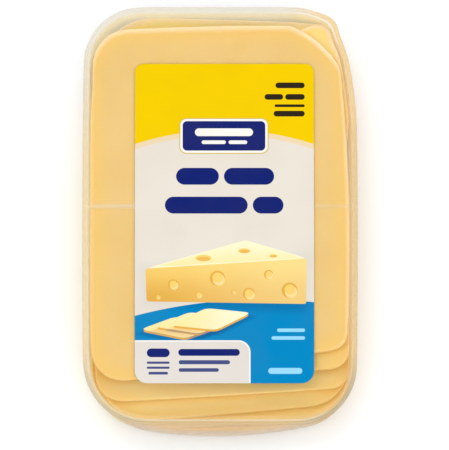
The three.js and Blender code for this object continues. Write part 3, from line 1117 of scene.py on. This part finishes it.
def draw_slices(sheet):
    below = DEEP_BLUE
    for x, y, tilt in PRINTED_SLICES:
        corners = [(x + out_x, y + out_y + tilt * lift) for out_x, out_y, lift in PRINTED_CORNERS]
        side = [(a, b - PRINTED_SIDE_DROP) for a, b in corners]
        cast = [(a, b - PRINTED_SHADOW_DROP) for a, b in corners]
        shadow = sheet.polygon(cast, PRINTED_SHADOW_ROUNDING)
        sheet.shadow(shadow, PRINTED_SHADOW_WIDTH, below, PRINTED_SHADOW_SHARE)
        sheet.ink(sheet.polygon(side, PRINTED_ROUNDING), AMBER)
        face = sheet.polygon(corners, PRINTED_ROUNDING)
        shine = sheet.nodes.smooth(sheet.x, x - PRINTED_SHINE_REACH, x + PRINTED_SHINE_REACH)
        sheet.ink(face, sheet.nodes.blend(shine, CREAM, CREAM_LIGHT))
        below = sheet.nodes.blend(sheet.inside(face), DEEP_BLUE, AMBER)


print("holes in the wedge:", len(FACE_HOLES) + len(TOP_HOLES), "slices before it:", len(PRINTED_SLICES))

# %% [markdown]
# The paper itself is nearly matt. A slow cockle gives it a breath of shade, and a fine fibre breaks up its
# gloss. As a sheet it lies just over the film and has the same waves and the same crease, so that neither
# one cuts through the other.

# %% Make the label
LABEL_SHADE = colour(110, 92, 40)
LABEL_SHADE_SHARE = 0.06
LABEL_LIFT = 0.15 * MM
LABEL_THICKNESS = 0.14 * MM
LABEL_CREASE = 0.06 * MM
FIBRE_SCALE = 1600
COCKLE_SCALE = 45


def label_material():
    material, nodes = new_material("printed_label")
    low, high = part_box("label")
    middle = (low + high) / 2
    place = nodes.place()
    x, y, _ = nodes.axes(place)
    sheet = Print(nodes, (x - middle.x) / MM, (y - middle.y) / MM, OFF_WHITE)
    draw_fields(sheet)
    draw_plaque_and_bars(sheet)
    draw_wedge(sheet)
    draw_slices(sheet)
    draw_chip(sheet)
    fibre = nodes.noise(place, FIBRE_SCALE, 2.0, 0.6)
    cockle = nodes.noise(place, COCKLE_SCALE)
    shaded = nodes.smooth(cockle, 0.3, 0.8) * LABEL_SHADE_SHARE
    paper = nodes.add("ShaderNodeBsdfPrincipled", None, {
        "Base Color": nodes.blend(shaded, sheet.colour, LABEL_SHADE),
        "Roughness": 0.42 + fibre * 0.12,
        "Specular IOR Level": 0.02,
        "Normal": nodes.bump(cockle + fibre * 0.05, strength=0.12, distance=0.5 * MM),
    })
    return finish(material, nodes, paper.outputs[0])


make_sheet(
    "paper_label", "label", outline_of("label", 0), label_material(),
    Around=420, Across=101, Height=film_top + LABEL_LIFT, Thickness=LABEL_THICKNESS, Edge=THIN_EDGE,
    Crease_height=LABEL_CREASE, **THIN_WAVES,
)

# %% [markdown]
# ## Table and light
#
# The table is plain and nearly white. Its two tones are slightly cool, because the pack throws warm light on
# it, and on a neutral table the shadow would look yellow.

# %% Table
TABLE_REACH = 4
MOTTLE_SCALE = 3
TABLE_DARKER = (0.925, 0.96, 0.995, 1)
TABLE_LIGHTER = (0.935, 0.97, 1.0, 1)

corners = [(x * TABLE_REACH, y * TABLE_REACH, 0) for x, y in ((-1, -1), (1, -1), (1, 1), (-1, 1))]
floor = mesh_object("table", corners, faces=[(0, 1, 2, 3)])
floor_material, nodes = new_material("table")
tone = nodes.blend(nodes.noise(nodes.place(), MOTTLE_SCALE), TABLE_DARKER, TABLE_LIGHTER)
matt = nodes.add("ShaderNodeBsdfPrincipled", None, {
    "Base Color": tone, "Roughness": 0.9, "Specular IOR Level": 0.1,
})
floor.data.materials.append(finish(floor_material, nodes, matt.outputs[0]))

# %% [markdown]
# The key light is high and broad and stands beyond the pack's upper end, so the upper edges of the slices
# shine and a soft shadow lies under each lower edge. A fill nearly as strong stands before the foot and
# opens those shadows up. Two weak strips at the sides draw the bright lines along the rim, and the world
# gives the rest. One lamp from the camera would have been simpler, but it would flatten the stack.

# %% Lights
LIGHT_TARGET = Vector((0, 0, 0.02))
WORLD_STRENGTH = 1.03

# Power in watts, width and height in metres, and place.
LIGHTS = {
    "key": (9.6, (1.7, 1.1), (-0.5, 1.65, 1.9)),
    "fill": (7.3, (1.4, 0.9), (0.3, -1.3, 1.9)),
    "left_strip": (0.4, (0.15, 0.8), (-0.8, 0.0, 0.45)),
    "right_strip": (0.3, (0.15, 0.8), (0.8, 0.1, 0.5)),
}

for name, (power, size, place) in LIGHTS.items():
    lamp = bpy.data.lights.new(name, "AREA")
    lamp.shape = "RECTANGLE"
    lamp.size, lamp.size_y = size
    lamp.energy = power
    light = bpy.data.objects.new(name, lamp)
    light.location = place
    light.rotation_euler = (LIGHT_TARGET - Vector(place)).to_track_quat("-Z", "Y").to_euler()
    light.visible_camera = False
    bpy.context.scene.collection.objects.link(light)

world = bpy.data.worlds.new("studio")
world.use_nodes = True
background = world.node_tree.nodes["Background"].inputs
background["Color"].default_value = (1.0, 1.0, 1.0, 1)
background["Strength"].default_value = WORLD_STRENGTH
bpy.context.scene.world = world
bpy.context.scene.view_settings.view_transform = "Standard"
print("lights:", ", ".join(LIGHTS))
